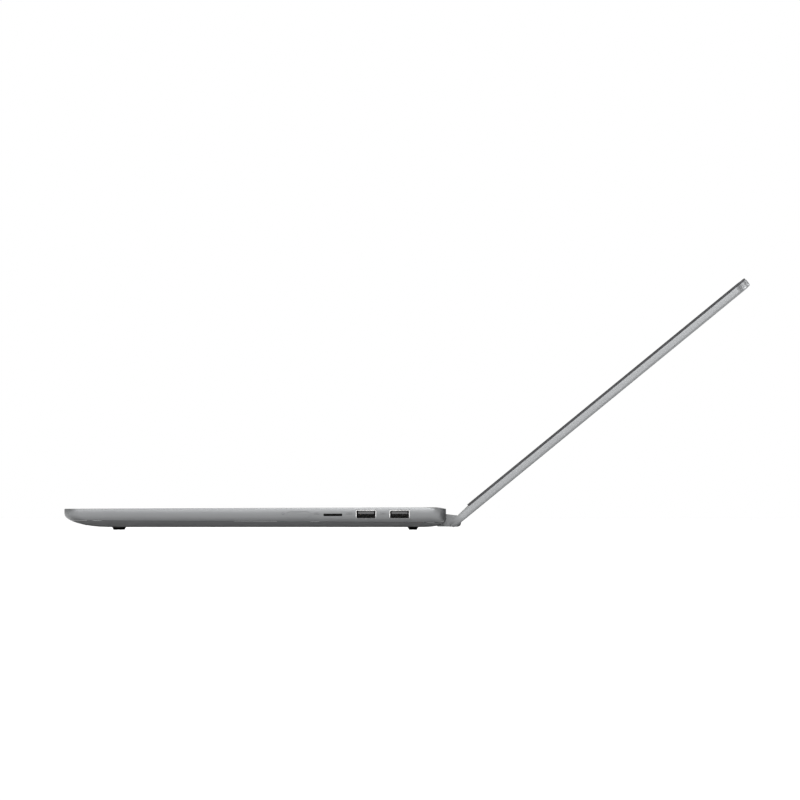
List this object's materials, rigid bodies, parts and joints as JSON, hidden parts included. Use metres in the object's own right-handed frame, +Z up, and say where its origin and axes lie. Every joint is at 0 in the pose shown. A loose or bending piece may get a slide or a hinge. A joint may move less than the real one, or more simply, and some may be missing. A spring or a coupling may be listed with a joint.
{
  "type": "laptop computer",
  "caption": "Slim grey convertible laptop with a full keyboard, touchpad and touch screen, whose lid opens right round on two-axis hinge blocks.",
  "frame": {"origin": "on the desk, under the centre of the base's footprint", "axes": "+X is the user's right, +Y is towards the hinges and the open lid, +Z is up"},
  "size_m": [0.3568, 0.4513, 0.1661],
  "materials": {
    "case_metal": "fine bead-blasted and anodised, storm grey",
    "cover_metal": "fine bead-blasted and anodised, slightly darker grey",
    "dark_steel": "black-oxide screw steel",
    "foot_rubber": "matt dark rubber",
    "sheet_steel": "pressed stainless sheet",
    "silicone": "translucent silicone",
    "board_green": "circuit board with solder mask",
    "chip_black": "moulded chip package",
    "copper": "bare copper",
    "fin_metal": "thin bare aluminium",
    "black_plastic": "fine-grained moulded plastic",
    "battery_wrap": "black film wrap",
    "flex_film": "amber polyimide film",
    "socket_steel": "nickel-plated pressed steel",
    "clear_lens": "clear light-pipe plastic",
    "shaft_steel": "ground steel",
    "key_plastic": "soft-touch coated key plastic, grey",
    "touch_surface": "smooth matt touch surface",
    "hinge_metal": "satin grey paint on die-cast metal",
    "panel_black": "switched-off display panel",
    "screen_glass": "black-backed glossy cover glass",
    "gasket_rubber": "black soft rubber",
    "chin_plastic": "satin grey moulded plastic",
    "shutter_plastic": "red moulded blade"
  },
  "bodies": {
    "base": {"top_case": "case_metal", "bottom_cover": "cover_metal", "bottom_screws": "dark_steel", "front_feet": "foot_rubber", "rear_foot": "foot_rubber", "keyboard_plate": "sheet_steel", "key_domes": "silicone", "mainboard": "board_green", "processor": "chip_black", "heat_pipe": "copper", "heatsink_fins": "fin_metal", "fan_housing": "black_plastic", "battery_pack": "battery_wrap", "ssd": "board_green", "wifi_card": "board_green", "speaker_left": "black_plastic", "speaker_right": "black_plastic", "io_board": "board_green", "io_flex_cable": "flex_film", "usb_a_shells": "socket_steel", "usb_a_tongues": "black_plastic", "microsd_socket": "socket_steel", "usb_c_shells": "socket_steel", "usb_c_tongues": "black_plastic", "hdmi_shell": "socket_steel", "hdmi_tongue": "black_plastic", "audio_jack": "black_plastic", "power_led_lens": "clear_lens", "charge_led_lens": "clear_lens", "hinge_base_brackets": "sheet_steel", "hinge_base_shafts": "shaft_steel", "hinge_bracket_screws": "dark_steel"},
    "hinge_links": {"hinge_cap_left": "hinge_metal", "hinge_cap_right": "hinge_metal", "hinge_link_plates": "sheet_steel", "hinge_washers": "sheet_steel"},
    "lid": {"lid_back_cover": "case_metal", "lcd_panel": "panel_black", "cover_glass": "screen_glass", "display_gasket": "gasket_rubber", "lid_chin": "chin_plastic", "hinge_lid_brackets": "sheet_steel", "hinge_lid_shafts": "shaft_steel", "lid_bracket_screws": "dark_steel", "camera_module": "chip_black", "antennas": "flex_film", "display_cable": "flex_film"},
    "camera_shutter": {"camera_shutter": "shutter_plastic"},
    "fan": {"fan_impeller": "black_plastic"},
    "touchpad": {"touchpad": "touch_surface"},
    "power_button": {"power_button": "case_metal"},
    "function_row": {"keys_function_row": "key_plastic"},
    "number_row": {"keys_number_row": "key_plastic"},
    "tab_row": {"keys_tab_row": "key_plastic"},
    "caps_row": {"keys_caps_row": "key_plastic"},
    "shift_row": {"keys_shift_row": "key_plastic"},
    "bottom_row": {"keys_bottom_row": "key_plastic"},
    "space_bar": {"space_bar": "key_plastic"}
  },
  "joints": [
    {"name": "hinge_lower", "type": "hinge", "parent": "base", "child": "hinge_links", "pos_m": [0, 0.1216, 0.0074], "axis": [-1, 0, 0], "range_deg": [-95.23, 85]},
    {"name": "hinge_upper", "type": "hinge", "parent": "hinge_links", "child": "lid", "pos_m": [0, 0.13229, 0.00646], "axis": [-1, 0, 0], "range_deg": [-45.7, 134.3]},
    {"name": "camera_shutter_slide", "type": "slide", "parent": "lid", "child": "camera_shutter", "axis": [-1, 0, 0], "range_m": [0, 0.008]},
    {"name": "fan_spin", "type": "hinge", "parent": "base", "child": "fan", "pos_m": [-0.062, 0.068, 0.0063], "axis": [0, 0, 1], "continuous": true},
    {"name": "touchpad_press", "type": "hinge", "parent": "base", "child": "touchpad", "pos_m": [0, -0.013, 0.0142], "axis": [1, 0, 0], "range_deg": [0, 0.35], "stiffness_Nm_per_rad": 10, "springref_deg": -0.69},
    {"name": "power_button_press", "type": "slide", "parent": "base", "child": "power_button", "axis": [-1, 0, 0], "range_m": [0, 0.0005], "stiffness_N_per_m": 800, "springref_m": -0.001},
    {"name": "function_row_press", "type": "slide", "parent": "base", "child": "function_row", "axis": [0, 0, -1], "range_m": [0, 0.0013], "stiffness_N_per_m": 300, "springref_m": -0.002},
    {"name": "number_row_press", "type": "slide", "parent": "base", "child": "number_row", "axis": [0, 0, -1], "range_m": [0, 0.0013], "stiffness_N_per_m": 300, "springref_m": -0.002},
    {"name": "tab_row_press", "type": "slide", "parent": "base", "child": "tab_row", "axis": [0, 0, -1], "range_m": [0, 0.0013], "stiffness_N_per_m": 300, "springref_m": -0.002},
    {"name": "caps_row_press", "type": "slide", "parent": "base", "child": "caps_row", "axis": [0, 0, -1], "range_m": [0, 0.0013], "stiffness_N_per_m": 300, "springref_m": -0.002},
    {"name": "shift_row_press", "type": "slide", "parent": "base", "child": "shift_row", "axis": [0, 0, -1], "range_m": [0, 0.0013], "stiffness_N_per_m": 300, "springref_m": -0.002},
    {"name": "bottom_row_press", "type": "slide", "parent": "base", "child": "bottom_row", "axis": [0, 0, -1], "range_m": [0, 0.0013], "stiffness_N_per_m": 300, "springref_m": -0.002},
    {"name": "space_bar_press", "type": "slide", "parent": "base", "child": "space_bar", "axis": [0, 0, -1], "range_m": [0, 0.0013], "stiffness_N_per_m": 300, "springref_m": -0.002}
  ]
}
